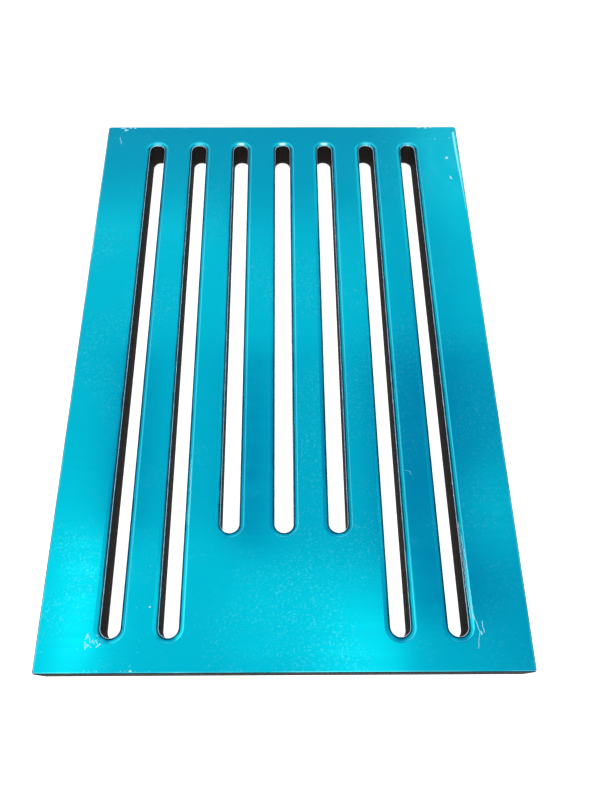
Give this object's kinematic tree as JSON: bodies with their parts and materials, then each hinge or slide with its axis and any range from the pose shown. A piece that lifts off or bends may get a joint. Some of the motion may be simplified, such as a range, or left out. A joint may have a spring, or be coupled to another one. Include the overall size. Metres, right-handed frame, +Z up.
{
  "type": "queen excluder",
  "caption": "Flat rectangular queen excluder panel with parallel round-ended slots, metal sheets on a dark core, and a blue protective film on the face.",
  "frame": {"origin": "middle of the underside, in the plane that the panel rests on", "axes": "+X across the slots, +Y along the slots towards the ends that line up, +Z up through the filmed face"},
  "size_m": [0.1, 0.15, 0.0066],
  "materials": {
    "sheet_metal": "brushed",
    "core_plastic": "satin, as cut",
    "peel_film": "glossy translucent blue film over brushed metal"
  },
  "bodies": {
    "root": {"back_sheet": "sheet_metal", "core": "core_plastic", "face_sheet": "sheet_metal", "protective_film": "peel_film"}
  },
  "joints": []
}
